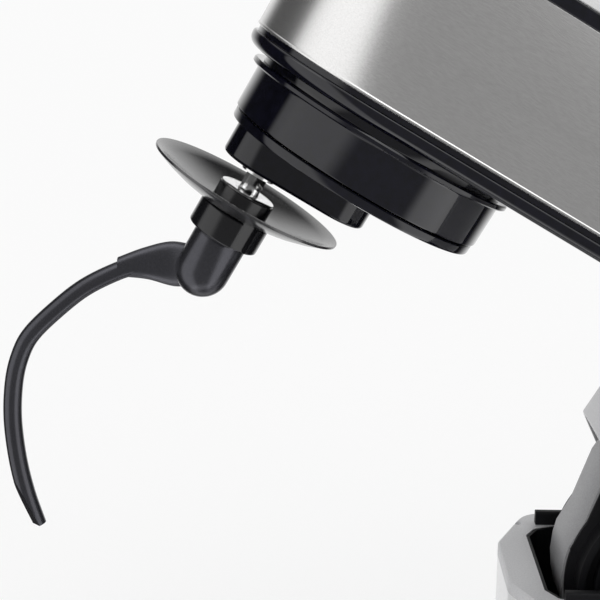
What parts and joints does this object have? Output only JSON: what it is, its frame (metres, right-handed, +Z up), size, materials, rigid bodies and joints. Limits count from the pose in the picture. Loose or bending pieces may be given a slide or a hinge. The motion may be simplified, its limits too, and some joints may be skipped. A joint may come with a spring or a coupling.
{
  "type": "tilt-head stand mixer",
  "caption": "Tilt-head stand mixer, head raised: planetary hub with splash disc and dough hook, steel head shell, tilt arm in a column with latch, foot with bowl seat.",
  "frame": {"origin": "centre of the bounding box at the surface the mixer stands on", "axes": "+X from the nose to the back, +Y to the release lever's side, +Z up"},
  "size_m": [0.4358, 0.21, 0.48],
  "materials": {
    "silver_paint": "satin silver",
    "arm_paint": "satin silver",
    "steel": "fine brushed",
    "gloss_black": "high gloss",
    "black_plastic": "satin",
    "knob_black": "satin",
    "dish_black": "polished",
    "hook_coating": "graphite non-stick",
    "rubber": "matt",
    "bright_steel": "polished",
    "zinc_steel": "zinc plated",
    "cast_alloy": "as cast",
    "gear_nylon": "moulded",
    "bronze": "sintered",
    "board_green": "solder mask",
    "inlet_rubber": "satin"
  },
  "bodies": {
    "stand": {"base_shell": "silver_paint", "bottom_cover": "black_plastic", "stand_screws": "zinc_steel", "rubber_feet": "rubber", "bowl_seat": "bright_steel", "column_shell": "silver_paint", "top_ring": "silver_paint", "column_liner": "black_plastic", "hinge_frame": "zinc_steel", "hinge_pin": "bright_steel", "hinge_clips": "bright_steel", "pawl_spring": "zinc_steel", "lever_bush": "black_plastic", "knob_bezel": "black_plastic", "rotary_switch": "board_green", "control_board": "board_green", "cord_inlet": "inlet_rubber"},
    "latch": {"latch_shaft": "bright_steel", "latch_pawl": "zinc_steel", "release_lever": "black_plastic"},
    "knob": {"speed_knob": "knob_black"},
    "head": {"lower_tray": "gloss_black", "steel_shell": "steel", "top_trim": "gloss_black", "top_cover": "silver_paint", "neck_cover": "silver_paint", "hub_housing": "gloss_black", "ring_gear": "gear_nylon", "head_frame": "cast_alloy", "gear_cover": "gear_nylon", "head_screws": "zinc_steel", "main_bearings": "bronze", "drive_bearings": "bronze", "tilt_arm": "arm_paint", "hinge_bushes": "bronze", "arm_side_covers": "black_plastic", "drive_belt": "rubber", "motor_stator": "zinc_steel", "motor_brackets": "zinc_steel", "brush_holders": "bronze"},
    "carrier": {"planet_carrier": "gloss_black", "spindle_bushes": "bronze", "main_shaft": "bright_steel", "main_gear": "gear_nylon"},
    "drive": {"drive_pinion_shaft": "bright_steel", "driven_pulley": "gear_nylon"},
    "rotor": {"motor_shaft": "bright_steel", "rotor_core": "zinc_steel", "commutator": "bronze", "cooling_fan": "gear_nylon", "motor_pulley": "gear_nylon"},
    "spindle": {"tool_spindle": "bright_steel", "planet_pinion": "gear_nylon", "spindle_pins": "bright_steel", "spindle_circlip": "bright_steel"},
    "tool": {"upper_collar": "black_plastic", "collar_washer": "bright_steel", "splash_disc": "dish_black", "lower_collar": "black_plastic", "dough_hook": "hook_coating"}
  },
  "joints": [
    {"name": "head_tilt", "type": "hinge", "parent": "stand", "child": "head", "pos_m": [0.09306, 0, 0.178], "axis": [0, -1, 0], "range_deg": [0, 30.5]},
    {"name": "carrier_spin", "type": "hinge", "parent": "head", "child": "carrier", "pos_m": [-0.04485, 0, 0.34976], "axis": [0.5075, 0, 0.8616], "continuous": true},
    {"name": "spindle_spin", "type": "hinge", "parent": "carrier", "child": "spindle", "pos_m": [-0.07414, 0, 0.36702], "axis": [0.5075, 0, 0.8616], "continuous": true},
    {"name": "drive_spin", "type": "hinge", "parent": "head", "child": "drive", "pos_m": [0.00168, 0, 0.32235], "axis": [0.5075, 0, 0.8616], "continuous": true},
    {"name": "rotor_spin", "type": "hinge", "parent": "head", "child": "rotor", "pos_m": [0.11714, 0, 0.25434], "axis": [0.5075, 0, 0.8616], "continuous": true},
    {"name": "tool_twist", "type": "hinge", "parent": "spindle", "child": "tool", "pos_m": [-0.09445, 0, 0.33255], "axis": [0.5075, 0, 0.8616], "range_deg": [0, 30]},
    {"name": "speed_knob_turn", "type": "hinge", "parent": "stand", "child": "knob", "pos_m": [0.10306, -0.06, 0.072], "axis": [0, -1, 0], "range_deg": [-240, 40]},
    {"name": "latch_turn", "type": "hinge", "parent": "stand", "child": "latch", "pos_m": [0.11906, 0, 0.1215], "axis": [0, -1, 0], "range_deg": [-6, 20]}
  ],
  "couplings": [
    {"joint": "spindle_spin", "follows": "carrier_spin", "ratio": -3.4286},
    {"joint": "drive_spin", "follows": "carrier_spin", "ratio": -5},
    {"joint": "rotor_spin", "follows": "carrier_spin", "ratio": -22.5}
  ]
}
